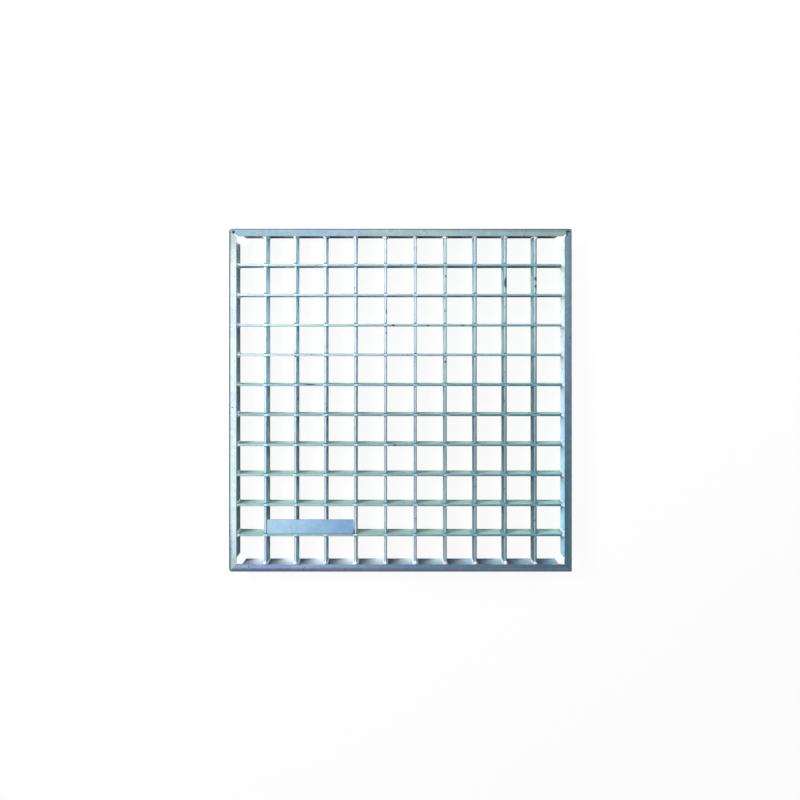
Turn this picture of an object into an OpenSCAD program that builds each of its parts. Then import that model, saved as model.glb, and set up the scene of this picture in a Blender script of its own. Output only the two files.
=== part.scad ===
// Steel grating panel: a grid of press-locked flat bars inside a mitred rim of rolled section,
// with a small bare tag plate lying on the bars near one corner.
// Millimetres. The panel lies flat on Z = 0. +Y is the edge away from the tag plate.

/* [Panel] */
// width over the rim, along X
panel_w = 380; // [300:1:500]
// length over the rim, along Y
panel_l = 380; // [300:1:500]

/* [Bars] */
// spacing of the bars, centre to centre, both ways
pitch = 33.33; // [30:0.01:45]
// thickness of the bearing bars, which run along Y and carry the slots
bearing_t = 3; // [2:0.1:5]
// thickness of the cross bars, which run along X and are pressed into the slots
cross_t = 2.5; // [1.5:0.1:4]
// depth of every bar, top to bottom
bar_h = 20; // [15:1:40]
// how far a slot's mouth opens on each side of the cross bar pressed into it
mouth_w = 1.2; // [0.4:0.1:2]
// depth of a slot's mouth below the bar's top
mouth_h = 1.4; // [0.4:0.1:3]

/* [Rim] */
// width of the rim's lip, from its outer edge to its inner edge
lip_w = 8.5; // [7:0.5:20]
// thickness of the lip at its inner edge, and of the web below it
rim_t = 3; // [2:0.1:4]
// how far the lip's nose reaches inward past its web, bevelled below by as much
lip_in = 1.1; // [0.5:0.1:1.6]
// width of the level inner part of the lip's top, the rest slopes down to the outer edge
lip_flat = 4; // [2:0.5:5]
// fall of the lip's top over its sloping part
lip_fall = 0.8; // [0.1:0.1:1]
// radius of the blunt ridge between the level part and the sloping part
ridge_r = 6; // [1:0.5:20]
// rounding of the lip's outer edge
edge_r = 1.7; // [0.2:0.1:2]
// fillet under the lip, where it meets the web
root_r = 2; // [0.5:0.1:2.4]
// distance from the panel's edge at which each web is cut off square at a corner
web_setback = 14; // [10:0.5:24]
// how far the mitres of the two +Y corners stay open at the lip's inner edge
gap_back = 3; // [0.5:0.5:4]
// how far the mitres of the two -Y corners stay open at the lip's inner edge
gap_front = 1; // [0.5:0.5:4]
// outer radius of the two corners on the -X side
corner_r_left = 4.5; // [0.5:0.1:6]
// outer radius of the +X +Y corner
corner_r_back = 3.5; // [0.5:0.1:6]
// outer radius of the +X -Y corner
corner_r_front = 0.8; // [0.5:0.1:6]

/* [Tag plate] */
// number of grid spaces that the plate bridges
tag_spaces = 3; // [2:1:4]
// gap between each end of the plate and the bar it stops at
tag_end_gap = 0.5; // [0.2:0.1:5]
// width of the plate, along Y
tag_w = 16; // [8:0.5:24]
// thickness of the plate
tag_t = 1.5; // [0.8:0.1:1.8]
// gap between the plate's long edge and the side of the first cross bar
tag_side_gap = 0.5; // [0.2:0.1:4]
// radius of the plate's corners
tag_corner_r = 1; // [0.4:0.1:3]

/* [Hidden] */
$fn = 48;
arc_steps = 5;
spare = 1;
zinc = [0.72, 0.76, 0.78];
zinc_dark = [0.55, 0.60, 0.64];
web_in = lip_w - lip_in;
web_out = web_in - rim_t;
inner_w = panel_w - 2 * web_in;
inner_l = panel_l - 2 * web_in;
count_x = floor(inner_w / pitch);
count_y = floor(inner_l / pitch);
lip_under = bar_h;
rim_h = lip_under + rim_t;
slope_w = lip_w - lip_flat;
slope = atan(lip_fall / slope_w);
edge_round = min(edge_r, 0.8 * (rim_t - lip_fall), 0.4 * slope_w);
ridge_round = min(ridge_r, 0.4 * slope_w / sin(slope));
slope_run = (slope_w - edge_round - (ridge_round - edge_round) * sin(slope)) / cos(slope);
edge_z = rim_h - ridge_round + (ridge_round - edge_round) * cos(slope) - slope_run * sin(slope);
root_round = min(root_r, 0.8 * web_out);
gap_share = 0.5;

// centre line of bearing bar i, counted from -X
function bar_x(i) = (i - (count_x - 1) / 2) * pitch;

// centre line of cross bar i, counted from -Y
function bar_y(i) = (i - (count_y - 1) / 2) * pitch;

// points of an arc about c from angle a to angle b
function arc(c, r, a, b) = [
  for (k = [0 : arc_steps])
    let (t = a + (b - a) * k / arc_steps) [c[0] + r * cos(t), c[1] + r * sin(t)]
];

// side view of a bearing bar: a flat bar whose slots open in a small mouth at its top
module bearing_profile() {
  half = inner_l / 2;
  mouths = [
    for (i = [count_y - 1 : -1 : 0], p = [
        [cross_t / 2 + mouth_w, bar_h],
        [cross_t / 2, bar_h - mouth_h],
        [-cross_t / 2, bar_h - mouth_h],
        [-cross_t / 2 - mouth_w, bar_h]
      ]) [bar_y(i) + p[0], p[1]]
  ];
  polygon(concat([[-half, 0], [half, 0], [half, bar_h]], mouths, [[-half, bar_h]]));
}

// section of the rim, a nosed lip on a web: X runs inward from the outer edge and Y runs up
module rim_profile() {
  polygon(concat(
    [[web_out, 0], [web_in, 0], [web_in, lip_under], [lip_w, lip_under + lip_in], [lip_w, rim_h]],
    arc([slope_w, rim_h - ridge_round], ridge_round, 90, 90 + slope),
    arc([edge_round, edge_z], edge_round, 90 + slope, 180),
    [[0, lip_under]],
    arc([web_out - root_round, lip_under - root_round], root_round, 90, 0)
  ));
}

// one mitred length of rim along +X, its outer edge on Y = 0, its web cut back at both ends,
// each mitre open at the inner edge by its gap
module rim_length(len, r_start, r_end, gap_start, gap_end) {
  difference() {
    intersection() {
      rotate([90, 0, 90])
        linear_extrude(height = len)
          rim_profile();
      translate([0, 0, -spare])
        linear_extrude(height = rim_h + 2 * spare)
          polygon([
            [0, 0],
            [len, 0],
            [len - lip_w + gap_end, lip_w - gap_end],
            [len - lip_w - gap_share * gap_end, lip_w],
            [lip_w + gap_share * gap_start, lip_w],
            [lip_w - gap_start, lip_w - gap_start]
          ]);
    }
    web_cut();
    translate([len, 0, 0])
      mirror([1, 0, 0])
        web_cut();
    corner_cut(r_start);
    translate([len, 0, 0])
      mirror([1, 0, 0])
        corner_cut(r_end);
  }
}

// what is taken from the web at the start of a rim length
module web_cut() {
  translate([-spare, -spare, -spare])
    cube([web_setback + spare, lip_w + 2 * spare, lip_under + spare]);
}

// what is taken from the outer corner to round it
module corner_cut(r) {
  difference() {
    translate([-spare, -spare, -spare])
      cube([r + spare, r + spare, rim_h + 2 * spare]);
    translate([r, r, -2 * spare])
      cylinder(r = r, h = rim_h + 4 * spare);
  }
}

module bar_grid() {
  color(zinc)
  union() {
    for (i = [0 : count_x - 1])
      translate([bar_x(i) - bearing_t / 2, 0, 0])
        rotate([90, 0, 90])
          linear_extrude(height = bearing_t)
            bearing_profile();
    for (i = [0 : count_y - 1])
      translate([-inner_w / 2, bar_y(i) - cross_t / 2, 0])
        cube([inner_w, cross_t, bar_h]);
  }
}

module rim_front() {
  color(zinc_dark)
  translate([-panel_w / 2, -panel_l / 2, 0])
    rim_length(panel_w, corner_r_left, corner_r_front, gap_front, gap_front);
}

module rim_back() {
  color(zinc_dark)
  translate([panel_w / 2, panel_l / 2, 0])
    rotate([0, 0, 180])
      rim_length(panel_w, corner_r_back, corner_r_left, gap_back, gap_back);
}

module rim_left() {
  color(zinc_dark)
  translate([-panel_w / 2, panel_l / 2, 0])
    rotate([0, 0, -90])
      rim_length(panel_l, corner_r_left, corner_r_left, gap_back, gap_front);
}

module rim_right() {
  color(zinc_dark)
  translate([panel_w / 2, -panel_l / 2, 0])
    rotate([0, 0, 90])
      rim_length(panel_l, corner_r_front, corner_r_back, gap_front, gap_back);
}

module tag_plate() {
  x0 = bar_x(0) + bearing_t / 2 + tag_end_gap;
  x1 = bar_x(tag_spaces) - bearing_t / 2 - tag_end_gap;
  y0 = bar_y(0) + cross_t / 2 + tag_side_gap;
  r = tag_corner_r;
  color(zinc)
  translate([x0, y0, bar_h])
    linear_extrude(height = tag_t)
      polygon(concat(
        arc([x1 - x0 - r, r], r, -90, 0),
        arc([x1 - x0 - r, tag_w - r], r, 0, 90),
        arc([r, tag_w - r], r, 90, 180),
        arc([r, r], r, 180, 270)
      ));
}

bar_grid();
rim_left();
rim_right();
rim_back();
rim_front();
tag_plate();
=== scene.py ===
# %% [markdown]
# # A press-locked steel grating panel
# The panel is a square mat of thin flat bars, pressed into each other's slots and welded into a
# raised rim, then dipped in molten zinc. This lesson dresses the exact solids of the panel with
# rounded edges, welds and a galvanised finish, and photographs it from straight above.

# %% Load the fixed frame
import math

import bpy
from mathutils import Matrix, Vector


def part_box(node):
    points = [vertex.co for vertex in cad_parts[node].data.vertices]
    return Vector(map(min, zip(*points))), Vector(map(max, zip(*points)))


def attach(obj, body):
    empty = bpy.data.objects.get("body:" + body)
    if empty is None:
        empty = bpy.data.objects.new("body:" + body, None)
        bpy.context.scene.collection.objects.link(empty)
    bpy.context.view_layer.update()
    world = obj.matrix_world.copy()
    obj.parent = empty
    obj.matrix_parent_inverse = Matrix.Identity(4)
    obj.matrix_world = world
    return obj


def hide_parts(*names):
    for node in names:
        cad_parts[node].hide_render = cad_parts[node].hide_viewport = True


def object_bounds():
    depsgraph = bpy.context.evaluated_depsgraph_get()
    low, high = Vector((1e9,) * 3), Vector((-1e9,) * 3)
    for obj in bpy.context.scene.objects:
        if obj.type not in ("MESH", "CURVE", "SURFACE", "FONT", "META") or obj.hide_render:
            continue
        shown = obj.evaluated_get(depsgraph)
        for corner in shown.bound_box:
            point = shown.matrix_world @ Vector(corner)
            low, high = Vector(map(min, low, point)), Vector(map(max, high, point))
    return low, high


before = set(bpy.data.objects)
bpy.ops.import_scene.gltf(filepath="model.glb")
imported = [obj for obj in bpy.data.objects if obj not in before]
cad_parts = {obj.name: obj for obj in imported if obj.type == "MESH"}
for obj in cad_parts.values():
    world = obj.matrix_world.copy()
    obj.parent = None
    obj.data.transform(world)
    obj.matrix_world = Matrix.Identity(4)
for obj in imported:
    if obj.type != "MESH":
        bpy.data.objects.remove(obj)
cad_low, cad_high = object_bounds()
print("solids:", sorted(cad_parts), "box:", cad_low, cad_high)

# %% [markdown]
# ## The camera
# The photograph looks straight down: the rim's four sides stay parallel, yet the bars show more of
# their sides the further they are from one point. That point is straight below the lens, and it is
# a little above the panel's middle. A tilted camera would make the rim taper, so the camera looks
# straight down and its lens is shifted instead.

# %% Camera
IMAGE = 800.0
SENSOR = 36.0
FOCAL_PIXELS = 640.0
PANEL_PIXELS = 343.8
NADIR_PIXEL = (396.0, 341.0)
CENTRE_PIXEL = (400.5, 400.3)

panel_side = cad_high.x - cad_low.x
pixels_per_metre = PANEL_PIXELS / panel_side
bpy.ops.object.select_all(action="DESELECT")
bpy.ops.object.camera_add(
    location=(
        (NADIR_PIXEL[0] - CENTRE_PIXEL[0]) / pixels_per_metre,
        (CENTRE_PIXEL[1] - NADIR_PIXEL[1]) / pixels_per_metre,
        cad_high.z + FOCAL_PIXELS / pixels_per_metre,
    ),
    rotation=(0.0, 0.0, 0.0),
)
camera = bpy.context.object
camera.data.sensor_width = SENSOR
camera.data.lens = SENSOR * FOCAL_PIXELS / IMAGE
camera.data.shift_x = (IMAGE / 2 - NADIR_PIXEL[0]) / IMAGE
camera.data.shift_y = (NADIR_PIXEL[1] - IMAGE / 2) / IMAGE
bpy.context.scene.camera = camera
print("camera at", camera.location, "lens", camera.data.lens)

# %% [markdown]
# ## Helpers for shader trees
# Every finish below is a small tree of nodes. It could be drawn by hand in the shader editor, but
# written out it can be read and changed. One helper adds a node and sets its inputs by name, and
# the others join sockets, do sums and mix colours, so that a cell reads like a list of what the
# finish is made of.

# %% Node helpers
X_AXIS, Y_AXIS = 0, 1


def add_node(tree, kind, settings=None, **inputs):
    """Adds a node, sets its settings and its input values, and returns it."""
    made = tree.nodes.new(kind)
    for key, value in (settings or {}).items():
        setattr(made, key, value)
    for key, value in inputs.items():
        made.inputs[key.replace("_", " ")].default_value = value
    return made


def join(tree, source, target):
    """Links an output socket to an input socket, or sets the input to a plain value."""
    if isinstance(source, (int, float, tuple)):
        target.default_value = source
    else:
        tree.links.new(source, target)


def sum_up(tree, operation, first, second=None, third=None):
    """A Math node whose inputs are sockets or plain numbers. Gives its output socket."""
    made = add_node(tree, "ShaderNodeMath", {"operation": operation})
    for place, value in enumerate((first, second, third)):
        if value is not None:
            join(tree, value, made.inputs[place])
    return made.outputs[0]


def flip(tree, mask):
    """1 where a mask is 0, and 0 where it is 1."""
    return sum_up(tree, "SUBTRACT", 1.0, mask)


def ramp(tree, value, low, high):
    """A smooth step from 0 at low to 1 at high. Gives its output socket."""
    made = add_node(
        tree,
        "ShaderNodeMapRange",
        {"interpolation_type": "SMOOTHSTEP"},
        From_Min=low,
        From_Max=high,
    )
    join(tree, value, made.inputs["Value"])
    return made.outputs["Result"]


def axes_of(tree, vector):
    """The three parts of a vector socket."""
    split = add_node(tree, "ShaderNodeSeparateXYZ")
    join(tree, vector, split.inputs[0])
    return split.outputs["X"], split.outputs["Y"], split.outputs["Z"]


print("sums ready")


# %% Colour helpers
MIX_FACTOR, MIX_FIRST, MIX_SECOND, MIX_RESULT = 0, 6, 7, 2


def blend(tree, factor, first, second, mode="MIX"):
    """A colour Mix node whose inputs are sockets or plain values. Gives its output socket."""
    made = add_node(tree, "ShaderNodeMix", {"data_type": "RGBA", "blend_type": mode})
    for place, value in ((MIX_FACTOR, factor), (MIX_FIRST, first), (MIX_SECOND, second)):
        join(tree, value, made.inputs[place])
    return made.outputs[MIX_RESULT]


def dim(tree, mask, colour, share):
    """Multiplies a colour by a share where a mask says so."""
    return blend(tree, mask, colour, blend(tree, 1.0, colour, share, "MULTIPLY"))


def new_material(name):
    """A material, its node tree and its Principled shader."""
    material = bpy.data.materials.new(name)
    material.use_nodes = True
    return material, material.node_tree, material.node_tree.nodes["Principled BSDF"]


def new_group(name, inputs, outputs):
    """A shader node group with the named sockets, and its two end nodes."""
    group = bpy.data.node_groups.new(name, "ShaderNodeTree")
    for direction, sockets in (("INPUT", inputs), ("OUTPUT", outputs)):
        for label, kind in sockets:
            group.interface.new_socket(
                name=label, in_out=direction, socket_type=f"NodeSocket{kind}"
            )
    return group, group.nodes.new("NodeGroupInput"), group.nodes.new("NodeGroupOutput")


print("colours ready")

# %% [markdown]
# ## The floor
# The panel lies on a white sheet. A plain matt plane would do, but the light that suits the zinc
# would leave it grey. So, to the camera, most of the sheet's white is its own, which keeps it clean
# between the bars, and the rest is lit, which keeps the panel's soft shadow. What the zinc mirrors
# is the lit sheet with a little of that white, so the shadows between the bars show in the rim's
# webs.

# %% Floor
FLOOR_SIDE = 12.0
FLOOR_DROP = 0.0004
FLOOR_WHITE = (0.86, 0.87, 0.87, 1.0)
OWN_WHITE_SEEN = 0.94
OWN_WHITE_MIRRORED = 0.08
bpy.ops.object.select_all(action="DESELECT")
bpy.ops.mesh.primitive_plane_add(size=FLOOR_SIDE, location=(0.0, 0.0, -FLOOR_DROP))
floor = bpy.context.object
floor.name = "floor"
sheet = bpy.data.materials.new("white_sheet")
sheet.use_nodes = True
tree = sheet.node_tree
tree.nodes.clear()
lit = add_node(tree, "ShaderNodeBsdfDiffuse", Color=FLOOR_WHITE)
white = add_node(tree, "ShaderNodeEmission", Strength=1.0)
light_path = add_node(tree, "ShaderNodeLightPath")
mixed = add_node(tree, "ShaderNodeMixShader")
out = add_node(tree, "ShaderNodeOutputMaterial")
mirrored = sum_up(
    tree, "MAXIMUM", light_path.outputs["Is Glossy Ray"], light_path.outputs["Is Transmission Ray"]
)
seen = sum_up(tree, "MULTIPLY", light_path.outputs["Is Camera Ray"], OWN_WHITE_SEEN)
own_white = sum_up(
    tree, "MAXIMUM", seen, sum_up(tree, "MULTIPLY", mirrored, OWN_WHITE_MIRRORED)
)
join(tree, own_white, mixed.inputs[0])
join(tree, lit.outputs[0], mixed.inputs[1])
join(tree, white.outputs[0], mixed.inputs[2])
join(tree, mixed.outputs[0], out.inputs["Surface"])
floor.data.materials.append(sheet)
print("floor", FLOOR_SIDE, "m wide")

# %% [markdown]
# ## Light
# The left side of the rim is white and the right side is dark, as when a broad soft panel hangs
# above the left. The webs that face the left are bright and the opposite ones are dark, so a
# smaller key lamp stands on the left and throws the bars' shadows to the right. A strip beyond the
# back edge lights the bars' back faces and fades towards the front, and a small fill beyond the
# back right corner lifts the right-hand bars. One broad sky could light all this, but area lamps
# can be set one by one. The key, the strip and the fill are too hot to be mirrored, so only matt
# surfaces take their light.

# %% Lamps
bpy.context.scene.view_settings.view_transform = "Standard"
PANEL_MIDDLE = (0.0, 0.0, 0.0)
IN_MIRRORS, NOT_IN_MIRRORS = True, False


def soft_lamp(name, place, aim, size, radiance, in_mirrors):
    """A rectangular area lamp at a place, turned towards a point."""
    bpy.ops.object.select_all(action="DESELECT")
    bpy.ops.object.light_add(type="AREA", location=place)
    lamp = bpy.context.object
    lamp.name = name
    lamp.data.shape = "RECTANGLE"
    lamp.data.size, lamp.data.size_y = size
    lamp.data.energy = radiance * math.pi * size[0] * size[1]
    lamp.rotation_mode = "QUATERNION"
    lamp.rotation_quaternion = (Vector(aim) - Vector(place)).to_track_quat("-Z", "Y")
    lamp.visible_glossy = in_mirrors


# each lamp: name, place, aim, width and length, radiance, seen in mirrors or not
LAMPS = [
    ("left_panel", (-0.92, -0.13, 1.40), (-0.92, -0.13, 0.0), (1.56, 1.02), 0.55, IN_MIRRORS),
    ("key_lamp", (-0.60, 0.20, 0.60), PANEL_MIDDLE, (0.28, 0.28), 42.0, NOT_IN_MIRRORS),
    ("back_strip", (-0.05, 0.50, 0.38), PANEL_MIDDLE, (1.00, 0.15), 4.0, NOT_IN_MIRRORS),
    ("right_fill", (0.50, 0.42, 0.34), PANEL_MIDDLE, (0.30, 0.20), 9.0, NOT_IN_MIRRORS),
]
for lamp_values in LAMPS:
    soft_lamp(*lamp_values)

# %% [markdown]
# The rest of the room is a soft gradient. It is palest high up, to the left and the back, falls to
# a lilac dusk at the sides and is dark close to the floor. Rounded edges mirror that dark and get
# their thin outlines from it. As a fill on matt surfaces it is weaker than in mirrors, which keeps
# the shadows between the bars deep. The camera itself sees plain white beyond the sheet.

# %% Surround
LOW_SKY_LEFT = (0.36, 0.41, 0.52, 1.0)
LOW_SKY_RIGHT = (0.22, 0.25, 0.34, 1.0)
HIGH_SKY = (0.60, 0.70, 0.74, 1.0)
DARK_RING = (0.03, 0.04, 0.05, 1.0)
SEEN_WHITE = (1.0, 1.0, 1.0, 1.0)
BRIGHT_SIDE = (-0.40, 0.18, 0.90)
LOW_SKY_TURN = (-0.25, 0.35)
HIGH_SKY_REACH = (0.66, 0.94)
RING_FADE = (0.20, 0.62)
FILL_SHARE = 0.35
surround = bpy.data.worlds.new("surround")
bpy.context.scene.world = surround
surround.use_nodes = True
tree = surround.node_tree
tree.nodes.clear()
sky_place = add_node(tree, "ShaderNodeTexCoord").outputs["Generated"]
towards = add_node(tree, "ShaderNodeVectorMath", {"operation": "DOT_PRODUCT"})
join(tree, sky_place, towards.inputs[0])
join(tree, BRIGHT_SIDE, towards.inputs[1])
sky_x, _, height = axes_of(tree, sky_place)
low_sky = blend(tree, ramp(tree, sky_x, *LOW_SKY_TURN), LOW_SKY_LEFT, LOW_SKY_RIGHT)
high_part = ramp(tree, towards.outputs["Value"], *HIGH_SKY_REACH)
sky_tone = blend(tree, high_part, low_sky, HIGH_SKY)
sky_tone = blend(tree, ramp(tree, height, *RING_FADE), DARK_RING, sky_tone)
light_path = add_node(tree, "ShaderNodeLightPath")
sky_tone = blend(tree, light_path.outputs["Is Camera Ray"], sky_tone, SEEN_WHITE)
full = sum_up(
    tree, "MAXIMUM", light_path.outputs["Is Glossy Ray"], light_path.outputs["Is Camera Ray"]
)
strength = sum_up(tree, "MULTIPLY_ADD", full, 1.0 - FILL_SHARE, FILL_SHARE)
room = add_node(tree, "ShaderNodeBackground")
out = add_node(tree, "ShaderNodeOutputWorld")
join(tree, sky_tone, room.inputs["Color"])
join(tree, strength, room.inputs["Strength"])
join(tree, room.outputs[0], out.inputs["Surface"])
print("surround from", LOW_SKY_RIGHT, "to", HIGH_SKY)

# %% [markdown]
# ## The galvanised finish
# Hot-dip zinc freezes into crystals, called spangle, and it keeps faint lines from the rolling of
# the steel below it. Its skin also takes a thin lilac tint that drifts slowly along a piece. They
# could be painted on each piece, but all three are patterns in the metal's tone and shine that
# every piece shares, so they are one node group of cell and noise textures.

# %% Zinc node group
CRYSTAL_SCALE = 190.0
DRIFT_SCALE = 16.0
GRAIN_SCALE = 900.0
LINE_SCALE = 700.0
CRYSTAL_PART = 0.45
LINE_PART = 0.55
LINE_ROUGHNESS = 0.14
LINE_RELIEF = 0.6
LILAC_LEVEL = (0.42, 0.66)
DEEP_SHARE = (0.74, 0.77, 0.80, 1.0)
LILAC_SHARE = (0.93, 0.92, 1.06, 1.0)


def zinc_group():
    """Spangle, rolled lines and a lilac drift on the colour that it is given."""
    group, source, result = new_group(
        "zinc_coat",
        [("Vector", "Vector"), ("Lines", "Vector"), ("Color", "Color"), ("Rough", "Float")],
        [("Color", "Color"), ("Roughness", "Float"), ("Height", "Float")],
    )
    crystal = add_node(group, "ShaderNodeTexVoronoi", Scale=CRYSTAL_SCALE)
    drift = add_node(group, "ShaderNodeTexNoise", Scale=DRIFT_SCALE, Detail=2.0)
    grain = add_node(group, "ShaderNodeTexNoise", Scale=GRAIN_SCALE, Detail=3.0)
    lines = add_node(group, "ShaderNodeTexNoise", Scale=LINE_SCALE, Detail=3.0)
    for texture in (crystal, drift, grain):
        join(group, source.outputs["Vector"], texture.inputs["Vector"])
    join(group, source.outputs["Lines"], lines.inputs["Vector"])
    line = lines.outputs["Fac"]
    split = add_node(group, "ShaderNodeSeparateColor")
    join(group, crystal.outputs["Color"], split.inputs[0])
    tone = sum_up(group, "MULTIPLY", split.outputs[0], CRYSTAL_PART)
    tone = sum_up(group, "MULTIPLY_ADD", line, LINE_PART, tone)
    colour = dim(group, flip(group, tone), source.outputs["Color"], DEEP_SHARE)
    colour = dim(group, ramp(group, drift.outputs["Fac"], *LILAC_LEVEL), colour, LILAC_SHARE)
    spread = sum_up(group, "MULTIPLY_ADD", line, LINE_ROUGHNESS, source.outputs["Rough"])
    relief = sum_up(group, "MULTIPLY_ADD", line, LINE_RELIEF, grain.outputs["Fac"])
    join(group, colour, result.inputs["Color"])
    join(group, spread, result.inputs["Roughness"])
    join(group, relief, result.inputs["Height"])
    return group


zinc_coat = zinc_group()
print("group", zinc_coat.name, "with", len(zinc_coat.nodes), "nodes")

# %% Coat and relief
BUMP_DEPTH = 0.0004
LINE_STRETCH = 0.04
EVEN = (1, 1, 1)
ALONG_X = (LINE_STRETCH, 1, 1)
ALONG_Y = (1, LINE_STRETCH, 1)


def coat_on(tree, vector, colour, rough, stretch):
    """The zinc coat over a colour, its lines stretched along the piece. Gives the group's node."""
    along = add_node(tree, "ShaderNodeMapping", Scale=stretch)
    coat = add_node(tree, "ShaderNodeGroup", {"node_tree": zinc_coat}, Rough=rough)
    join(tree, colour, coat.inputs["Color"])
    join(tree, vector, coat.inputs["Vector"])
    join(tree, vector, along.inputs["Vector"])
    join(tree, along.outputs["Vector"], coat.inputs["Lines"])
    return coat


def relief_on(tree, height, shader, strength):
    """A shallow bump from a height, on a shader's normal."""
    bump = add_node(tree, "ShaderNodeBump", Strength=strength, Distance=BUMP_DEPTH)
    join(tree, height, bump.inputs["Height"])
    join(tree, bump.outputs["Normal"], shader.inputs["Normal"])


print("coat and relief ready")

# %% [markdown]
# ## Dirt and scratches
# The panel has been handled: there are dark scorched spots on the mitres, scratches on some bars
# and small specks all over. They could be modelled as flakes, but they have no thickness, so they
# are masks for a dirt colour. A scratch has a place of its own, so one group gives a soft oval
# round a point. The specks have none, so another group thresholds a fine noise.

# %% Dirt node groups
OVAL_FADE = (0.55, 1.0)
SPECK_SCALE = 420.0
PATCH_SCALE = 30.0
SPECK_LEVEL = (0.68, 0.76)
PATCH_LEVEL = (0.45, 0.60)


def oval_group():
    """1 inside an oval round a place, 0 outside it, with a soft border."""
    group, source, result = new_group(
        "oval_mark",
        [("Vector", "Vector"), ("Place", "Vector"), ("Reach", "Vector")],
        [("Mask", "Float")],
    )
    away = add_node(group, "ShaderNodeVectorMath", {"operation": "SUBTRACT"})
    shares = add_node(group, "ShaderNodeVectorMath", {"operation": "DIVIDE"})
    reach = add_node(group, "ShaderNodeVectorMath", {"operation": "LENGTH"})
    join(group, source.outputs["Vector"], away.inputs[0])
    join(group, source.outputs["Place"], away.inputs[1])
    join(group, away.outputs[0], shares.inputs[0])
    join(group, source.outputs["Reach"], shares.inputs[1])
    join(group, shares.outputs[0], reach.inputs[0])
    outside = ramp(group, reach.outputs["Value"], *OVAL_FADE)
    join(group, flip(group, outside), result.inputs["Mask"])
    return group


def speck_group():
    """Sparse small specks: the peaks of a fine noise, thinned out by a coarse one."""
    group, source, result = new_group("dirt_specks", [("Vector", "Vector")], [("Mask", "Float")])
    fine = add_node(group, "ShaderNodeTexNoise", Scale=SPECK_SCALE, Detail=1.0)
    coarse = add_node(group, "ShaderNodeTexNoise", Scale=PATCH_SCALE, Detail=1.0)
    for texture in (fine, coarse):
        join(group, source.outputs["Vector"], texture.inputs["Vector"])
    peaks = ramp(group, fine.outputs["Fac"], *SPECK_LEVEL)
    patches = ramp(group, coarse.outputs["Fac"], *PATCH_LEVEL)
    join(group, sum_up(group, "MULTIPLY", peaks, patches), result.inputs["Mask"])
    return group


oval_mark = oval_group()
dirt_specks = speck_group()
print("groups", oval_mark.name, dirt_specks.name)


# %% Marks on a colour
def add_marks(tree, vector, colour, marks, dirt):
    """Lays a dirt colour over a colour socket at each mark and each speck."""
    specks = add_node(tree, "ShaderNodeGroup", {"node_tree": dirt_specks})
    join(tree, vector, specks.inputs["Vector"])
    dirty = specks.outputs["Mask"]
    for place, reach in marks:
        mark = add_node(
            tree, "ShaderNodeGroup", {"node_tree": oval_mark}, Place=place, Reach=reach
        )
        join(tree, vector, mark.inputs["Vector"])
        dirty = sum_up(tree, "MAXIMUM", dirty, mark.outputs["Mask"])
    return blend(tree, dirty, colour, dirt)


print("marks ready")

# %% [markdown]
# ## The rim's and the plate's zinc
# The rim is the shiniest piece: its lip mirrors the room and its web mirrors the sheet below. Each
# length has its own tint, which changes from one end to the other, and the lip's level part, its
# slope and its outer edge differ too. These tints are partly painted light: the lips carry painted
# reflection, bright on the left length and dark on the right one, the webs carry painted light and
# shade, pale on the right and front and dark on the left and back, and the rounded outer edges carry
# thin lines of painted shade. Each strip could have a material of its own, but then the faces would
# have to be split where the tints meet. So each length has one material, and masks from the
# surface's place and normal pick out the strip, with soft borders.

# %% Strips of the rim
PITCH = 0.03333
BAR_COUNT = 10
SLOPE_WIDTH = 0.0045
WEB_MIDDLE_IN = 0.0059
BLUR = 0.0005
EDGE_TILT = (0.10, 0.40)
UPRIGHT_TILT = (0.15, 0.50)
WEB_RISE = (0.001, 0.019)
CELL_FADE = (0.05, 0.90)


def soft_step(tree, value, border):
    """0 before a border and 1 past it, blurred a little."""
    return ramp(tree, value, border - BLUR, border + BLUR)


def rim_zones(tree, coords, edge_width):
    """Masks of a rim's outer edge, the lip's slope, the web's two faces and the web's rise."""
    x, y, z = axes_of(tree, coords.outputs["Object"])
    upward = axes_of(tree, coords.outputs["Normal"])[2]
    farther = sum_up(tree, "MAXIMUM", sum_up(tree, "ABSOLUTE", x), sum_up(tree, "ABSOLUTE", y))
    edge = soft_step(tree, farther, cad_high.x - edge_width)
    edge = sum_up(tree, "MULTIPLY", edge, ramp(tree, upward, *EDGE_TILT))
    slope = soft_step(tree, farther, cad_high.x - SLOPE_WIDTH)
    upright = flip(tree, ramp(tree, upward, *UPRIGHT_TILT))
    outside = soft_step(tree, farther, cad_high.x - WEB_MIDDLE_IN)
    inner = sum_up(tree, "MULTIPLY", upright, flip(tree, outside))
    outer = sum_up(tree, "MULTIPLY", upright, outside)
    return edge, slope, inner, outer, ramp(tree, z, *WEB_RISE)


def bar_steps(tree, along):
    """A coordinate counted in spaces of the mesh, whole on every bar."""
    return sum_up(tree, "MULTIPLY_ADD", along, 1.0 / PITCH, 0.5 * (BAR_COUNT + 1))


def cell_start(tree, along):
    """1 just past a bar, falling to 0 at the next bar, along an axis."""
    part = sum_up(tree, "FRACT", bar_steps(tree, along))
    return flip(tree, ramp(tree, part, *CELL_FADE))


print("the lip's slope is", SLOPE_WIDTH, "m wide")

# %% [markdown]
# The webs' inner faces are duller than the lip, so they are only partly metallic. The front web has
# painted shade towards its top, and inside each cell a painted shadow right of each bar, so it
# brightens from left to right. Grazing is how much of the pale sheen at flat angles a length keeps.

# %% Shiny zinc
SCORCH = (0.06, 0.15, 0.18, 1)
# The colour of the front web's painted shade, towards its top and right of each bar.
PAINTED_WEB_SHADE = (0.05, 0.07, 0.10, 1)
OUTER_SKIN = (0.42, 0.50, 0.53, 1)
EDGE_DEPTH = 0.85
PLAIN_SPECULAR = 0.5
SHINY_RELIEF = 0.05


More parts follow.
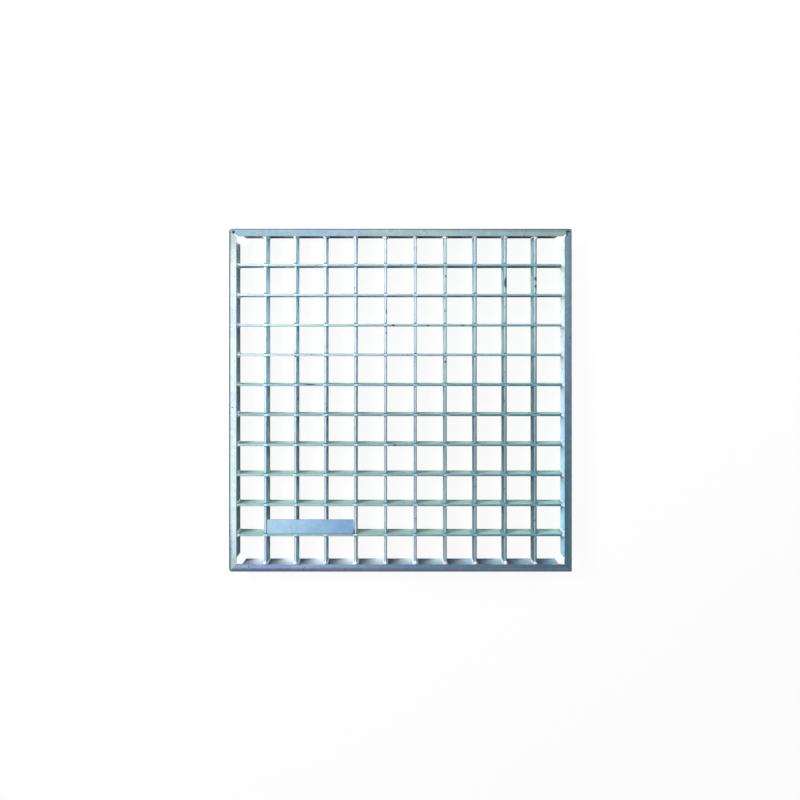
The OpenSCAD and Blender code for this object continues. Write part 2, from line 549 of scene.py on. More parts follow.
def strip_skin(tree, station, along, zones, skins):
    """The colour of a piece, strip by strip, before the zinc's pattern."""
    slope, web, outer, rise = zones
    level_skin, slope_skin, web_skin = (
        blend(tree, along, *skins[strip]) for strip in ("level", "slope", "web")
    )
    # Painted shade towards the web's top, then a painted shadow right of each bar in every cell.
    web_skin = blend(tree, sum_up(tree, "MULTIPLY", rise, skins["rise_loss"]), web_skin, PAINTED_WEB_SHADE)
    cell_loss = sum_up(tree, "MULTIPLY", cell_start(tree, station), skins["cell_loss"])
    web_skin = blend(tree, cell_loss, web_skin, PAINTED_WEB_SHADE)
    skin = blend(tree, web, blend(tree, slope, level_skin, slope_skin), web_skin)
    return blend(tree, outer, skin, OUTER_SKIN)


def shiny_zinc(name, axis, span, skins, rough, marks):
    """A galvanised finish whose colours drift along an axis, from one end of a span to the other."""
    material, tree, shader = new_material(name)
    coords = add_node(tree, "ShaderNodeTexCoord")
    place = coords.outputs["Object"]
    station = axes_of(tree, place)[axis]
    edge, slope, web, outer, rise = rim_zones(tree, coords, skins["edge_width"])
    along = ramp(tree, station, *span)
    skin = strip_skin(tree, station, along, (slope, web, outer, rise), skins)
    coat = coat_on(tree, place, skin, rough, (ALONG_X, ALONG_Y)[axis])
    # The rounded outer edge gets its painted shade.
    edge = sum_up(tree, "MULTIPLY", edge, EDGE_DEPTH)
    colour = blend(tree, edge, coat.outputs["Color"], skins["edge"])
    if marks:
        colour = add_marks(tree, place, colour, marks, SCORCH)
    metallic = sum_up(tree, "MULTIPLY_ADD", web, skins["web_metallic"] - 1.0, 1.0)
    join(tree, colour, shader.inputs["Base Color"])
    join(tree, coat.outputs["Roughness"], shader.inputs["Roughness"])
    join(tree, metallic, shader.inputs["Metallic"])
    shader.inputs["Specular IOR Level"].default_value = PLAIN_SPECULAR * skins["grazing"]
    shader.inputs["Specular Tint"].default_value = (skins["grazing"],) * 3 + (1.0,)
    relief_on(tree, coat.outputs["Height"], shader, SHINY_RELIEF)
    return material


def skins_of(level, slope, web, edge, edge_width, **amounts):
    """The colours of a piece's strips, three of them as pairs for its two ends, and some amounts."""
    skins = {"web_metallic": 0.4, "rise_loss": 0.0, "cell_loss": 0.0, "grazing": 1.0}
    skins.update(level=level, slope=slope, web=web, edge=edge, edge_width=edge_width)
    skins.update(amounts)
    return skins


print("shiny zinc ready")

# %% [markdown]
# The tints run from ice blue to sea green at the back, from navy to teal on the right and from lilac
# to teal at the front, and the left length is nearly white; on the lips they are partly painted
# reflection of the bright left and the darker right of the room. The plate is the same metal, a
# little duller, and it carries no dirt.

# %% Tints of the rim and the plate
# Partly painted reflection: the left lip's tints are near white and the right lip's run from navy to
# teal.
MINT, WHITE_MINT = (0.70, 0.84, 0.79, 1), (0.90, 0.95, 0.87, 1)
NAVY, TEAL = (0.29, 0.59, 0.57, 1), (0.52, 0.83, 0.78, 1)
SEA_SHADE, PALE_LILAC = (0.47, 0.70, 0.52, 1), (0.95, 1.0, 1.0, 1)
ICE, SEA_GREEN = (0.60, 0.79, 0.88, 1), (0.80, 1.0, 0.85, 1)
PALE_ICE, PALE_GREEN = (0.78, 0.98, 1.0, 1), (0.85, 1.0, 0.82, 1)
LILAC, DEEP_TEAL = (0.46, 0.59, 0.80, 1), (0.35, 0.60, 0.62, 1)
DUSK, GREY_TEAL = (0.48, 0.51, 0.59, 1), (0.58, 0.68, 0.60, 1)
PLATE, PLATE_FAR = (0.57, 0.80, 0.94, 1), (0.41, 0.63, 0.90, 1)
# Painted shade: the left and back webs, and the plate's upright faces, are painted dark.
SHADED_WEB, DARK_WEB = (0.22, 0.33, 0.345, 1), (0.07, 0.11, 0.13, 1)
# Painted light: the right web on this line and the front web on the next are painted pale.
SKY_WEB, WHITE_WEB = (0.42, 0.86, 1.0, 1), (0.94, 1.0, 1.0, 1)
BLUE_WEB, DEEP_WEB = (0.92, 1.0, 1.0, 1), (0.66, 0.94, 1.0, 1)
# Painted shade on the lips' rounded outer edges, paler on the right length.
DARK_EDGE, GREY_EDGE = (0.06, 0.09, 0.11, 1), (0.30, 0.40, 0.44, 1)
PALE_EDGE = (0.50, 0.62, 0.70, 1)
RIM_SKINS = {
    "left": skins_of(
        (MINT, WHITE_MINT), (MINT, WHITE_MINT), (SHADED_WEB, SHADED_WEB), DARK_EDGE, edge_width=0.0019
    ),
    "right": skins_of(
        (NAVY, TEAL), (SEA_SHADE, PALE_LILAC), (SKY_WEB, WHITE_WEB), PALE_EDGE, edge_width=0.0008
    ),
    "back": skins_of(
        (ICE, SEA_GREEN),
        (PALE_ICE, PALE_GREEN),
        (DARK_WEB, DARK_WEB),
        GREY_EDGE,
        edge_width=0.0013,
        grazing=0.1,
    ),
    "front": skins_of(
        (LILAC, DEEP_TEAL),
        (DUSK, GREY_TEAL),
        (BLUE_WEB, DEEP_WEB),
        DARK_EDGE,
        edge_width=0.0014,
        web_metallic=0.15,
        rise_loss=0.40,
        cell_loss=0.85,
        grazing=0.4,
    ),
}
TAG_SKINS = skins_of(
    (PLATE, PLATE_FAR), (PLATE, PLATE_FAR), (SHADED_WEB, SHADED_WEB), DARK_EDGE, edge_width=0.0
)
print("tints for", sorted(RIM_SKINS), "and the plate")

# %% Finishes of the rim and the plate
RIM_ROUGH = 0.06
TAG_ROUGH = 0.22
RIM_SPAN = (-0.15, 0.15)
RIM_AXES = {"left": Y_AXIS, "right": Y_AXIS, "back": X_AXIS, "front": X_AXIS}
BACK_LEFT_MARK = ((-0.1847, 0.1860, 0.0225), (0.0022, 0.0024, 0.02))
BACK_RIGHT_MARK = ((0.1852, 0.1866, 0.0225), (0.0026, 0.0016, 0.02))
BACK_RIGHT_SEAM = ((0.1838, 0.1835, 0.0225), (0.0014, 0.0030, 0.02))
CORNER_MARKS = [BACK_LEFT_MARK, BACK_RIGHT_MARK, BACK_RIGHT_SEAM]
rim_zinc = {
    side: shiny_zinc(f"rim_zinc_{side}", RIM_AXES[side], RIM_SPAN, skins, RIM_ROUGH, CORNER_MARKS)
    for side, skins in RIM_SKINS.items()
}
tag_low, tag_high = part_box("tag_plate")
tag_zinc = shiny_zinc("tag_zinc", X_AXIS, (tag_low.x, tag_high.x), TAG_SKINS, TAG_ROUGH, [])
print("finishes:", sorted(rim_zinc), tag_zinc.name)

# %% [markdown]
# ## The bars' zinc
# The bars' tops are rolled smooth and mirror the room, and their colour adds a painted reflection
# that is pale on the left and dark on the right. Their sides are matt, bluish on the bearing bars
# and greenish on the cross bars. Painted shade darkens the zinc from the back left towards the
# right, most of all in the middle rows. Twenty bars with materials of their own could show this, but
# the mat is one piece. So one material tells the sides from the tops by the surface's own normal,
# and the crossings by the spacing of the bars.

# %% Painted shade across the bars
FALLOFF_ACROSS = 0.60
FALLOFF_FORWARD = 0.19
FALLOFF_START = -0.08
FALLOFF_EASED = -0.09
FALLOFF_REACH = 0.22
BACK_TO_MIDDLE = (0.10, -0.05)
MIDDLE_TO_FRONT = (-0.05, -0.14)
PAST_FIRST_BAR = (-0.15, -0.12)


def painted_falloff_mask(tree, x, y):
    """Painted shade that rises from the back left to the right, and eases again in the front rows.
    """
    forward = sum_up(
        tree, "MULTIPLY_ADD", ramp(tree, y, *BACK_TO_MIDDLE), FALLOFF_FORWARD, FALLOFF_START
    )
    eased = sum_up(
        tree, "MULTIPLY", ramp(tree, y, *MIDDLE_TO_FRONT), ramp(tree, x, *PAST_FIRST_BAR)
    )
    forward = sum_up(tree, "MULTIPLY_ADD", eased, FALLOFF_EASED, forward)
    slope = sum_up(tree, "MULTIPLY_ADD", x, FALLOFF_ACROSS, forward)
    return ramp(tree, slope, -FALLOFF_REACH, FALLOFF_REACH)


print("wear fades over", FALLOFF_REACH, "to either side")

# %% Zones of the bars
LEFT_TO_RIGHT = (-0.03, 0.13)
TOP_TILT = (0.88, 0.985)
ARRIS_TILT = (0.12, 0.35)


def off_bar(tree, along):
    """How far a coordinate is from the centre line of the nearest bar, with its sign."""
    steps = sum_up(tree, "WRAP", bar_steps(tree, along), 0.5, -0.5)
    return sum_up(tree, "MULTIPLY", steps, PITCH)


def bar_zones(tree, coords):
    """Sockets that tell where on the bars a point is and which way its face looks."""
    x, y, _ = axes_of(tree, coords.outputs["Object"])
    facing = axes_of(tree, coords.outputs["Normal"])
    off_cross = off_bar(tree, y)
    top = ramp(tree, facing[2], *TOP_TILT)
    return {
        "x": x,
        "y": y,
        "facing": facing,
        "to_right": ramp(tree, x, *LEFT_TO_RIGHT),
        "painted_falloff": painted_falloff_mask(tree, x, y),
        "off_cross": off_cross,
        "from_cross": sum_up(tree, "ABSOLUTE", off_cross),
        "from_bearing": sum_up(tree, "ABSOLUTE", off_bar(tree, x)),
        "top": top,
        "arris": sum_up(tree, "SUBTRACT", ramp(tree, facing[2], *ARRIS_TILT), top),
    }


print("zones for bars", PITCH, "m apart")

# %% [markdown]
# The tops of the cross bars have shares of their own of the bearing bars' tint, one for the back
# rows, one for the front rows and a darker one in the middle. Their front edges get painted shade.

# %% Tops of the bars
TOP_LEFT, TOP_RIGHT = (0.91, 1.00, 1.00, 1), (0.45, 0.62, 0.60, 1)
CROSS_BACK_LEFT, CROSS_BACK_RIGHT = (0.58, 0.67, 0.64, 1), (1.12, 1.25, 1.20, 1)
CROSS_FRONT_LEFT, CROSS_FRONT_RIGHT = (0.53, 0.69, 0.66, 1), (0.80, 1.14, 1.11, 1)
CROSS_MIDDLE_SHARE = (0.78, 0.78, 0.80, 1)
CROSS_LOW_SHARE = (0.60, 0.58, 0.56, 1)
FALLOFF_TOP = (0.47, 0.57, 0.60, 1)
CROSS_WIDTH = (0.0013, 0.0019)
MIDDLE_ROWS = (-0.045, -0.015)
BACK_ROWS = (0.020, 0.048)
LOW_EDGE = (0.0003, -0.0007)
LOW_EDGE_SPAN = (-0.13, 0.04)


def top_skin(tree, zones):
    """The colour of the bars' tops before the zinc's pattern."""
    # Painted reflection, pale on the left and dark on the right, then the painted shade that falls
    # off across the bars.
    skin = blend(tree, zones["to_right"], TOP_LEFT, TOP_RIGHT)
    skin = dim(tree, zones["painted_falloff"], skin, FALLOFF_TOP)
    on_cross = flip(tree, ramp(tree, zones["from_cross"], *CROSS_WIDTH))
    back = blend(tree, zones["to_right"], CROSS_BACK_LEFT, CROSS_BACK_RIGHT)
    front = blend(tree, zones["to_right"], CROSS_FRONT_LEFT, CROSS_FRONT_RIGHT)
    share = dim(tree, ramp(tree, zones["y"], *MIDDLE_ROWS), front, CROSS_MIDDLE_SHARE)
    share = blend(tree, ramp(tree, zones["y"], *BACK_ROWS), share, back)
    skin = dim(tree, on_cross, skin, share)
    # Painted shade on the front edges of the cross bars' tops.
    low_edge = sum_up(tree, "MULTIPLY", on_cross, ramp(tree, zones["off_cross"], *LOW_EDGE))
    low_edge = sum_up(tree, "MULTIPLY", low_edge, ramp(tree, zones["x"], *LOW_EDGE_SPAN))
    return dim(tree, low_edge, skin, CROSS_LOW_SHARE)


print("tops from", TOP_LEFT, "to", TOP_RIGHT)

# %% [markdown]
# The sides take the painted shade across the bars and more painted shade in the front half of the
# right-hand bars, both less on the faces that look to the right. Blotches of bluer zinc lie on the
# bearing bars. The cross bars' front faces are painted in shade and their back faces lit.

# %% Sides of the bars
BEARING_SIDE_LEFT, BEARING_SIDE_RIGHT = (0.56, 0.80, 0.87, 1), (0.45, 0.67, 0.66, 1)
CROSS_SIDE_LEFT, CROSS_SIDE_RIGHT = (0.37, 0.55, 0.47, 1), (0.49, 0.77, 0.68, 1)
SHADED_SIDE_LEFT, SHADED_SIDE_RIGHT = (0.25, 0.31, 0.31, 1), (0.10, 0.14, 0.135, 1)
FALLOFF_SIDE = (0.27, 0.35, 0.35, 1)
FRONT_SHADE_SHARE = (0.66, 0.66, 0.66, 1)
BLOTCH_SHARE = (0.62, 0.66, 0.90, 1)
BLOTCH_SCALE = 75.0
BLOTCH_LEVEL = (0.50, 0.66)
RIGHT_FACE_SPARE = 0.6
FRONT_SHADE_SPAN = (0.055, 0.085)
FRONT_SHADE_ROWS = (-0.02, 0.12)
SHADE_SPAN = (-0.15, 0.15)
RIGHT_TURN = (-0.2, 0.2)
BACK_TURN = (-0.4, 0.4)
CROSS_TURN = (0.4, 0.8)


def side_skin(tree, zones, place):
    """The colour of the bars' matt sides."""
    facing_x, facing_y, _ = zones["facing"]
    skin = blend(tree, zones["to_right"], BEARING_SIDE_LEFT, BEARING_SIDE_RIGHT)
    # Painted shade across the bars and in the front half of the right-hand bars, both weaker on
    # faces that look to the right.
    faces_right = sum_up(tree, "MULTIPLY", ramp(tree, facing_x, *RIGHT_TURN), zones["to_right"])
    shade_weight = sum_up(tree, "MULTIPLY_ADD", faces_right, -RIGHT_FACE_SPARE, 1.0)
    skin = dim(tree, sum_up(tree, "MULTIPLY", zones["painted_falloff"], shade_weight), skin, FALLOFF_SIDE)
    in_front = flip(tree, ramp(tree, zones["y"], *FRONT_SHADE_ROWS))
    front_shaded = sum_up(tree, "MULTIPLY", ramp(tree, zones["x"], *FRONT_SHADE_SPAN), in_front)
    skin = dim(tree, sum_up(tree, "MULTIPLY", front_shaded, shade_weight), skin, FRONT_SHADE_SHARE)
    blotch = add_node(tree, "ShaderNodeTexNoise", Scale=BLOTCH_SCALE, Detail=3.0)
    join(tree, place, blotch.inputs["Vector"])
    skin = dim(tree, ramp(tree, blotch.outputs["Fac"], *BLOTCH_LEVEL), skin, BLOTCH_SHARE)
    shade_drift = ramp(tree, zones["x"], *SHADE_SPAN)
    shaded = blend(tree, shade_drift, SHADED_SIDE_LEFT, SHADED_SIDE_RIGHT)
    lit_side = blend(tree, zones["to_right"], CROSS_SIDE_LEFT, CROSS_SIDE_RIGHT)
    cross = blend(tree, ramp(tree, facing_y, *BACK_TURN), shaded, lit_side)
    is_cross = ramp(tree, sum_up(tree, "ABSOLUTE", facing_y), *CROSS_TURN)
    return blend(tree, is_cross, skin, cross)


print("sides from", BEARING_SIDE_LEFT, "to", BEARING_SIDE_RIGHT)

# %% [markdown]
# The rounded arrises are painted in shade as dark lines, but those on the left of the right-hand
# bars get a painted highlight.
# Where two bars cross there is a dark teal stain, partly flux and zinc and partly painted shade in
# the corners that deepens to the right, and pale zinc fills the slot's mouth with a painted
# highlight that is stronger on the left.
# Both have an uneven border, so a noise is added to the distance from the crossing.

# %% Arrises and crossings
ARRIS_PAINTED_SHADE = (0.08, 0.13, 0.15, 1)
ARRIS_PAINTED_HIGHLIGHT, ARRIS_FALLOFF_HIGHLIGHT = (0.80, 0.98, 0.98, 1), (0.34, 0.44, 0.48, 1)
OUTLINE_LEFT, OUTLINE_GAIN = 0.55, 0.40
LEFT_TURN = (-0.10, -0.35)
CROSSING_STAIN_AND_SHADE = (0.20, 0.40, 0.47, 1)
CROSSING_FILL_AND_HIGHLIGHT = (0.88, 0.97, 0.99, 1)
CROSSING_STRETCH = 0.6
CROSSING_SCALE = 260.0
CROSSING_UNEVEN = 0.004
STAIN_FADE, STAIN_LEFT, STAIN_GAIN = (0.0040, 0.0056), 0.40, 0.45
FILL_FADE, FILL_LEFT, FILL_GAIN = (0.0026, 0.0038), 0.50, -0.45


def outline_arrises(tree, zones, colour):
    """Painted shade on the arrises, and a painted highlight on the left ones of the right-hand bars.
    """
    amount = sum_up(tree, "MULTIPLY_ADD", zones["to_right"], OUTLINE_GAIN, OUTLINE_LEFT)
    outline = sum_up(tree, "MULTIPLY", zones["arris"], amount)
    on_left = ramp(tree, zones["facing"][0], *LEFT_TURN)
    lit_part = sum_up(tree, "MULTIPLY", zones["arris"], on_left)
    lit_part = sum_up(tree, "MULTIPLY", lit_part, zones["to_right"])
    bright = blend(tree, zones["painted_falloff"], ARRIS_PAINTED_HIGHLIGHT, ARRIS_FALLOFF_HIGHLIGHT)
    return blend(tree, lit_part, blend(tree, outline, colour, ARRIS_PAINTED_SHADE), bright)


def near_crossing(tree, zones, reach, fade, left, gain):
    """A mask round the crossings whose strength changes from left to right."""
    mask = flip(tree, ramp(tree, reach, *fade))
    return sum_up(
        tree, "MULTIPLY", mask, sum_up(tree, "MULTIPLY_ADD", zones["to_right"], gain, left)
    )


def stain_and_shade_crossings(tree, zones, place, colour):
    """A stain with painted shade round every crossing and a pale fill with a painted highlight in
    its middle.
    """
    across = sum_up(tree, "MULTIPLY", zones["from_bearing"], CROSSING_STRETCH)
    across = sum_up(tree, "POWER", across, 2.0)
    along = sum_up(tree, "POWER", zones["from_cross"], 2.0)
    distance = sum_up(tree, "SQRT", sum_up(tree, "ADD", across, along))
    uneven = add_node(tree, "ShaderNodeTexNoise", Scale=CROSSING_SCALE, Detail=2.0)
    join(tree, place, uneven.inputs["Vector"])
    reach = sum_up(tree, "MULTIPLY_ADD", uneven.outputs["Fac"], CROSSING_UNEVEN, distance)
    stain = near_crossing(tree, zones, reach, STAIN_FADE, STAIN_LEFT, STAIN_GAIN)
    fill = near_crossing(tree, zones, reach, FILL_FADE, FILL_LEFT, FILL_GAIN)
    return blend(tree, fill, blend(tree, stain, colour, CROSSING_STAIN_AND_SHADE), CROSSING_FILL_AND_HIGHLIGHT)


print("arrises and crossings ready")

# %% [markdown]
# The scratches and chips that stand out on the real bars get marks of their own, each a place and
# a reach. Then the parts come together: the tops are smoother and more metallic than the sides.

# %% Bars' finish
BAR_DIRT = (0.04, 0.07, 0.08, 1)
BAR_MARKS = [
    ((0.1172, 0.1303, 0.0200), (0.0026, 0.0078, 0.005)),
    ((0.1504, 0.1346, 0.0200), (0.0022, 0.0031, 0.005)),
    ((0.1504, 0.1262, 0.0200), (0.0019, 0.0024, 0.005)),
    ((0.0502, 0.1375, 0.0200), (0.0012, 0.0014, 0.005)),
    ((0.0500, 0.0424, 0.0200), (0.0013, 0.0019, 0.005)),
    ((0.0310, 0.0826, 0.0200), (0.0024, 0.0010, 0.005)),
    ((0.0687, 0.0826, 0.0200), (0.0018, 0.0009, 0.005)),
    ((-0.0064, -0.0500, 0.0200), (0.0019, 0.0014, 0.005)),
    ((-0.0079, 0.0830, 0.0200), (0.0020, 0.0014, 0.005)),
    ((-0.0158, 0.0985, 0.0200), (0.0008, 0.0044, 0.005)),
    ((-0.0158, 0.0746, 0.0200), (0.0010, 0.0014, 0.005)),
    ((-0.1010, 0.0172, 0.0200), (0.0080, 0.0009, 0.005)),
    ((-0.1152, 0.0008, 0.0120), (0.0016, 0.0028, 0.006)),
]
BAR_ROUGH = 0.22
SIDE_ROUGH, TOP_ROUGH_GAIN = 0.34, -0.26
SIDE_METAL, TOP_METAL_GAIN = 0.25, 0.20
BAR_RELIEF = 0.10


def bar_finish():
    """Smooth bright tops, matt sides of two tints, stained crossings and specks."""
    material, tree, shader = new_material("bar_zinc")
    coords = add_node(tree, "ShaderNodeTexCoord")
    place = coords.outputs["Object"]
    zones = bar_zones(tree, coords)
    coat = coat_on(tree, place, top_skin(tree, zones), BAR_ROUGH, EVEN)
    colour = blend(tree, zones["top"], side_skin(tree, zones, place), coat.outputs["Color"])
    colour = outline_arrises(tree, zones, colour)
    colour = stain_and_shade_crossings(tree, zones, place, colour)
    colour = add_marks(tree, place, colour, BAR_MARKS, BAR_DIRT)
    rough = sum_up(tree, "MULTIPLY_ADD", zones["top"], TOP_ROUGH_GAIN, SIDE_ROUGH)
    rough = sum_up(tree, "ADD", rough, coat.outputs["Roughness"])
    metallic = sum_up(tree, "MULTIPLY_ADD", zones["top"], TOP_METAL_GAIN, SIDE_METAL)
    join(tree, colour, shader.inputs["Base Color"])
    join(tree, rough, shader.inputs["Roughness"])
    join(tree, metallic, shader.inputs["Metallic"])
    relief_on(tree, coat.outputs["Height"], shader, BAR_RELIEF)
    return material


bar_zinc = bar_finish()
print("finish", bar_zinc.name, "with", len(bar_zinc.node_tree.nodes), "nodes")

# %% [markdown]
# ## Rounded copies of the solids
# Zinc can't keep a knife edge: it runs back from every arris and leaves it round. Each solid is
# copied, its loose triangles are merged and its edges get a bevel. A Bevel modifier does for the
# rim and the plate. The bars need more care, because their tops are rounder than their feet, so
# their edges are picked by height and direction and bevelled in edit mode.

# %% Copy a solid
MERGE = 0.000002
FLAT_ANGLE = math.radians(0.5)


def merge_doubles(flatten):
    """Merges the active piece's points that lie on each other, and its level faces if asked to."""
    bpy.ops.object.mode_set(mode="EDIT")
    bpy.ops.mesh.select_all(action="SELECT")
    bpy.ops.mesh.remove_doubles(threshold=MERGE)
    if flatten:
        bpy.ops.mesh.dissolve_limited(angle_limit=FLAT_ANGLE)
    bpy.ops.object.mode_set(mode="OBJECT")


def take_copy(node, name):
    """A merged copy of a solid's mesh, as a new object that is the only one selected."""
    piece = bpy.data.objects.new(name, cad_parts[node].data.copy())
    bpy.context.collection.objects.link(piece)
    bpy.ops.object.select_all(action="DESELECT")
    piece.select_set(True)
    bpy.context.view_layer.objects.active = piece
    bpy.ops.mesh.customdata_custom_splitnormals_clear()
    merge_doubles(flatten=True)
    return piece


print("copies are merged within", MERGE, "m")

# %% Shade a piece
SMOOTH_ANGLE = math.radians(40)


def shade(piece, material):
    """Merges what a bevel left double, shades the active piece and gives it its finish."""
    merge_doubles(flatten=False)
    bpy.ops.object.shade_smooth_by_angle(angle=SMOOTH_ANGLE)
    even_out = piece.modifiers.new("even_out", "WEIGHTED_NORMAL")
    even_out.keep_sharp = True
    bpy.ops.object.modifier_apply(modifier=even_out.name)
    piece.data.materials.clear()
    piece.data.materials.append(material)
    print(piece.name, len(piece.data.polygons), "faces")


def put_on(piece, node, material):
    """Shades a piece and lets it stand for its solid."""
    shade(piece, material)
    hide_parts(node)
    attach(piece, "root")


print("shading up to", SMOOTH_ANGLE)

# %% Round the rim and the plate
SHARP_ANGLE = math.radians(35)
RIM_ROUND = 0.0004
TAG_ROUND = 0.0005
ROUND_SEGMENTS = 2


def rounded_copy(node, name, width, material):
    """A copy of a solid with all its sharp edges rounded, which stands for that solid."""
    piece = take_copy(node, name)
    edge = piece.modifiers.new("round", "BEVEL")
    edge.width = width
    edge.segments = ROUND_SEGMENTS
    edge.limit_method = "ANGLE"
    edge.angle_limit = SHARP_ANGLE
    bpy.ops.object.modifier_apply(modifier=edge.name)
    put_on(piece, node, material)


for side, finish in rim_zinc.items():
    rounded_copy(f"rim_{side}", f"rim_length_{side}", RIM_ROUND, finish)
rounded_copy("tag_plate", "tag", TAG_ROUND, tag_zinc)


# %% Pick edges to round
def round_edges(piece, chosen, width, segments):
    """Bevels the edges whose ends and neighbouring faces the test accepts."""
    mesh = piece.data
    sides = {}
    for face in mesh.polygons:
        for key in face.edge_keys:
            sides.setdefault(key, []).append(face.normal.copy())
    bpy.context.tool_settings.mesh_select_mode = (False, True, False)
    bpy.ops.object.mode_set(mode="EDIT")
    bpy.ops.mesh.select_all(action="DESELECT")
    bpy.ops.object.mode_set(mode="OBJECT")
    picked = 0
    for edge in mesh.edges:
        start, end = (mesh.vertices[i].co for i in edge.vertices)
        edge.select = chosen(start, end, sides.get(edge.key, []))
        picked += edge.select
    bpy.ops.object.mode_set(mode="EDIT")
    bpy.ops.mesh.bevel(offset=width, segments=segments, affect="EDGES")
    bpy.ops.object.mode_set(mode="OBJECT")
    print("rounded", picked, "edges by", width)


# %% Round the bars
ALONG_CROSS, ALONG_BEARING = X_AXIS, Y_AXIS
UP, DOWN = 1, -1
TINY = 0.00001
STRAIGHT = 0.99
LEVEL_FACE = 0.9
UPRIGHT_FACE = 0.3
BEARING_ROUND = 0.0009
CROSS_ROUND = 0.0006
TOP_SEGMENTS = 3
FOOT_ROUND = 0.0004
FOOT_SEGMENTS = 2
bar_low, bar_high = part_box("bar_grid")


def arris_test(level, axes, up):
    """A test for edges at a level, along one of the axes, between a level and an upright face."""

    def test(start, end, normals):
        if abs(start.z - level) > TINY or abs(end.z - level) > TINY or len(normals) != 2:
            return False
        direction = (end - start).normalized()
        if all(abs(direction[axis]) < STRAIGHT for axis in axes):
            return False
        tilts = sorted(normal.z * up for normal in normals)
        return tilts[1] > LEVEL_FACE and tilts[0] < UPRIGHT_FACE

    return test


bars = take_copy("bar_grid", "bars")
round_edges(bars, arris_test(bar_high.z, [ALONG_BEARING], UP), BEARING_ROUND, TOP_SEGMENTS)
round_edges(bars, arris_test(bar_high.z, [ALONG_CROSS], UP), CROSS_ROUND, TOP_SEGMENTS)
round_edges(bars, arris_test(0.0, [ALONG_CROSS, ALONG_BEARING], DOWN), FOOT_ROUND, FOOT_SEGMENTS)
put_on(bars, "bar_grid", bar_zinc)

# %% [markdown]
# ## The end welds
# Every bar is welded to the rim's web at both its ends. A bead runs up the corner between bar and
# web and ends in a button on the bar's top, below the lip's nose. Sculpting forty beads would take
# long. So one bead is drawn up ring by ring from a small circle and cut off flat at the web, and
# then copied to the forty bar ends with small changes of size, as a welder's hand makes them. Each
# ring has a height, a reach from the web and half a width, in millimetres.

# %% One bead
MM = 0.001
BEAD_RINGS = [
    (0.6, 1.4, 2.3),
    (4.0, 2.0, 3.1),
    (7.6, 1.7, 2.8),
    (11.2, 2.2, 3.3),
    (14.8, 1.8, 3.0),
    (18.2, 2.8, 3.0),
    (20.1, 3.9, 2.3),
    (21.0, 3.2, 1.6),
    (21.4, 1.6, 0.7),
]
BEAD_SIDES = 10
BEAD_ROOT = 0.3


def draw_bead():
    """One bead on a web at X = 0, with the bar running off along +X."""
    first_z, first_reach, first_half = BEAD_RINGS[0]
    foot = (0.0, 0.0, first_z * MM)
    bpy.ops.object.select_all(action="DESELECT")
    bpy.ops.mesh.primitive_circle_add(
        vertices=BEAD_SIDES, radius=MM, fill_type="NGON", location=foot
    )
    drawn = bpy.context.object
    bpy.ops.object.transform_apply(location=True, rotation=True, scale=True)
    bpy.ops.object.mode_set(mode="EDIT")
    bpy.ops.mesh.select_all(action="SELECT")
    bpy.ops.transform.resize(value=(first_reach, first_half, 1.0), center_override=foot)
    for below, ring in zip(BEAD_RINGS, BEAD_RINGS[1:]):
        rise = (ring[0] - below[0]) * MM
        bpy.ops.mesh.extrude_region_move(TRANSFORM_OT_translate={"value": (0.0, 0.0, rise)})
        growth = (ring[1] / below[1], ring[2] / below[2], 1.0)
        bpy.ops.transform.resize(value=growth, center_override=(0.0, 0.0, ring[0] * MM))
    bpy.ops.mesh.select_all(action="SELECT")
    bpy.ops.mesh.normals_make_consistent(inside=False)
    bpy.ops.mesh.bisect(
        plane_co=(-BEAD_ROOT * MM, 0.0, 0.0),
        plane_no=(1.0, 0.0, 0.0),
        use_fill=True,
        clear_inner=True,
    )
    bpy.ops.object.mode_set(mode="OBJECT")
    return drawn


bead = draw_bead()
print("bead", len(bead.data.polygons), "faces")

# %% [markdown]
# Weld metal is smoother than the bars and frosts over with zinc, so it is paler and catches the
# light. It takes the same coat and the same dirt as the rest.

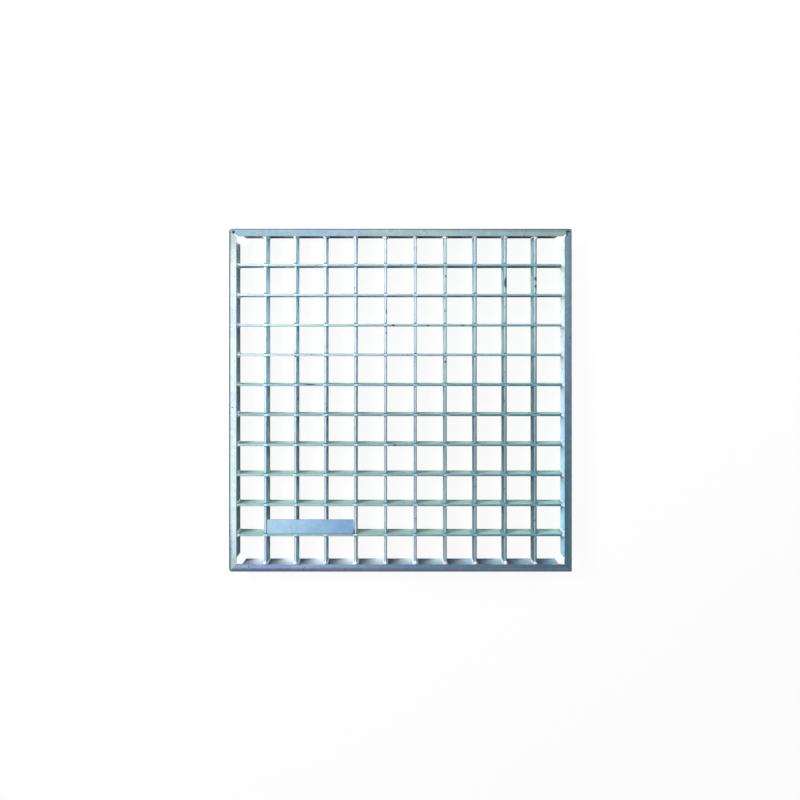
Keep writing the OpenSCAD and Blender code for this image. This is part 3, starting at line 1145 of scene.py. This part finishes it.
# %% Weld finish
WELD_FROST = (0.95, 1.00, 1.00, 1)
WELD_METAL = 0.3
WELD_ROUGH = 0.26
WELD_RELIEF = 0.25


def weld_finish():
    """Pale, smooth zinc with specks."""
    material, tree, shader = new_material("weld_zinc")
    shader.inputs["Metallic"].default_value = WELD_METAL
    place = add_node(tree, "ShaderNodeTexCoord").outputs["Object"]
    coat = coat_on(tree, place, WELD_FROST, WELD_ROUGH, EVEN)
    colour = add_marks(tree, place, coat.outputs["Color"], [], SCORCH)
    join(tree, colour, shader.inputs["Base Color"])
    join(tree, coat.outputs["Roughness"], shader.inputs["Roughness"])
    relief_on(tree, coat.outputs["Height"], shader, WELD_RELIEF)
    return material


weld_zinc = weld_finish()
print("finish", weld_zinc.name)

# %% Forty bar ends
WELD_SPREAD = 0.14
WIDTH_STEP = 2.4
LENGTH_STEP = 3.7


def bar_line(i):
    """Place of bar i, counted from the low side, across the panel."""
    return (i - (BAR_COUNT - 1) / 2) * PITCH


def weld_places():
    """A turn about Z and a point on the web for both ends of every bar."""
    for i in range(BAR_COUNT):
        yield 0.0, (bar_low.x, bar_line(i), 0.0)
        yield math.pi, (bar_high.x, bar_line(i), 0.0)
        yield math.pi / 2, (bar_line(i), bar_low.y, 0.0)
        yield -math.pi / 2, (bar_line(i), bar_high.y, 0.0)


copies = []
for number, (turn, point) in enumerate(weld_places()):
    wider = 1.0 + WELD_SPREAD * math.sin(WIDTH_STEP * number)
    longer = 1.0 + WELD_SPREAD * math.cos(LENGTH_STEP * number)
    copy = bpy.data.objects.new(f"weld_{number}", bead.data.copy())
    size = Matrix.Diagonal((longer, wider, 1.0, 1.0))
    copy.data.transform(Matrix.Translation(point) @ Matrix.Rotation(turn, 4, "Z") @ size)
    bpy.context.collection.objects.link(copy)
    copies.append(copy)
bpy.data.objects.remove(bead)
print(len(copies), "beads placed")

# %% Join the welds
bpy.ops.object.select_all(action="DESELECT")
for copy in copies:
    copy.select_set(True)
welds = copies[0]
bpy.context.view_layer.objects.active = welds
bpy.ops.object.join()
welds.name = "end_welds"
shade(welds, weld_zinc)
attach(welds, "root")
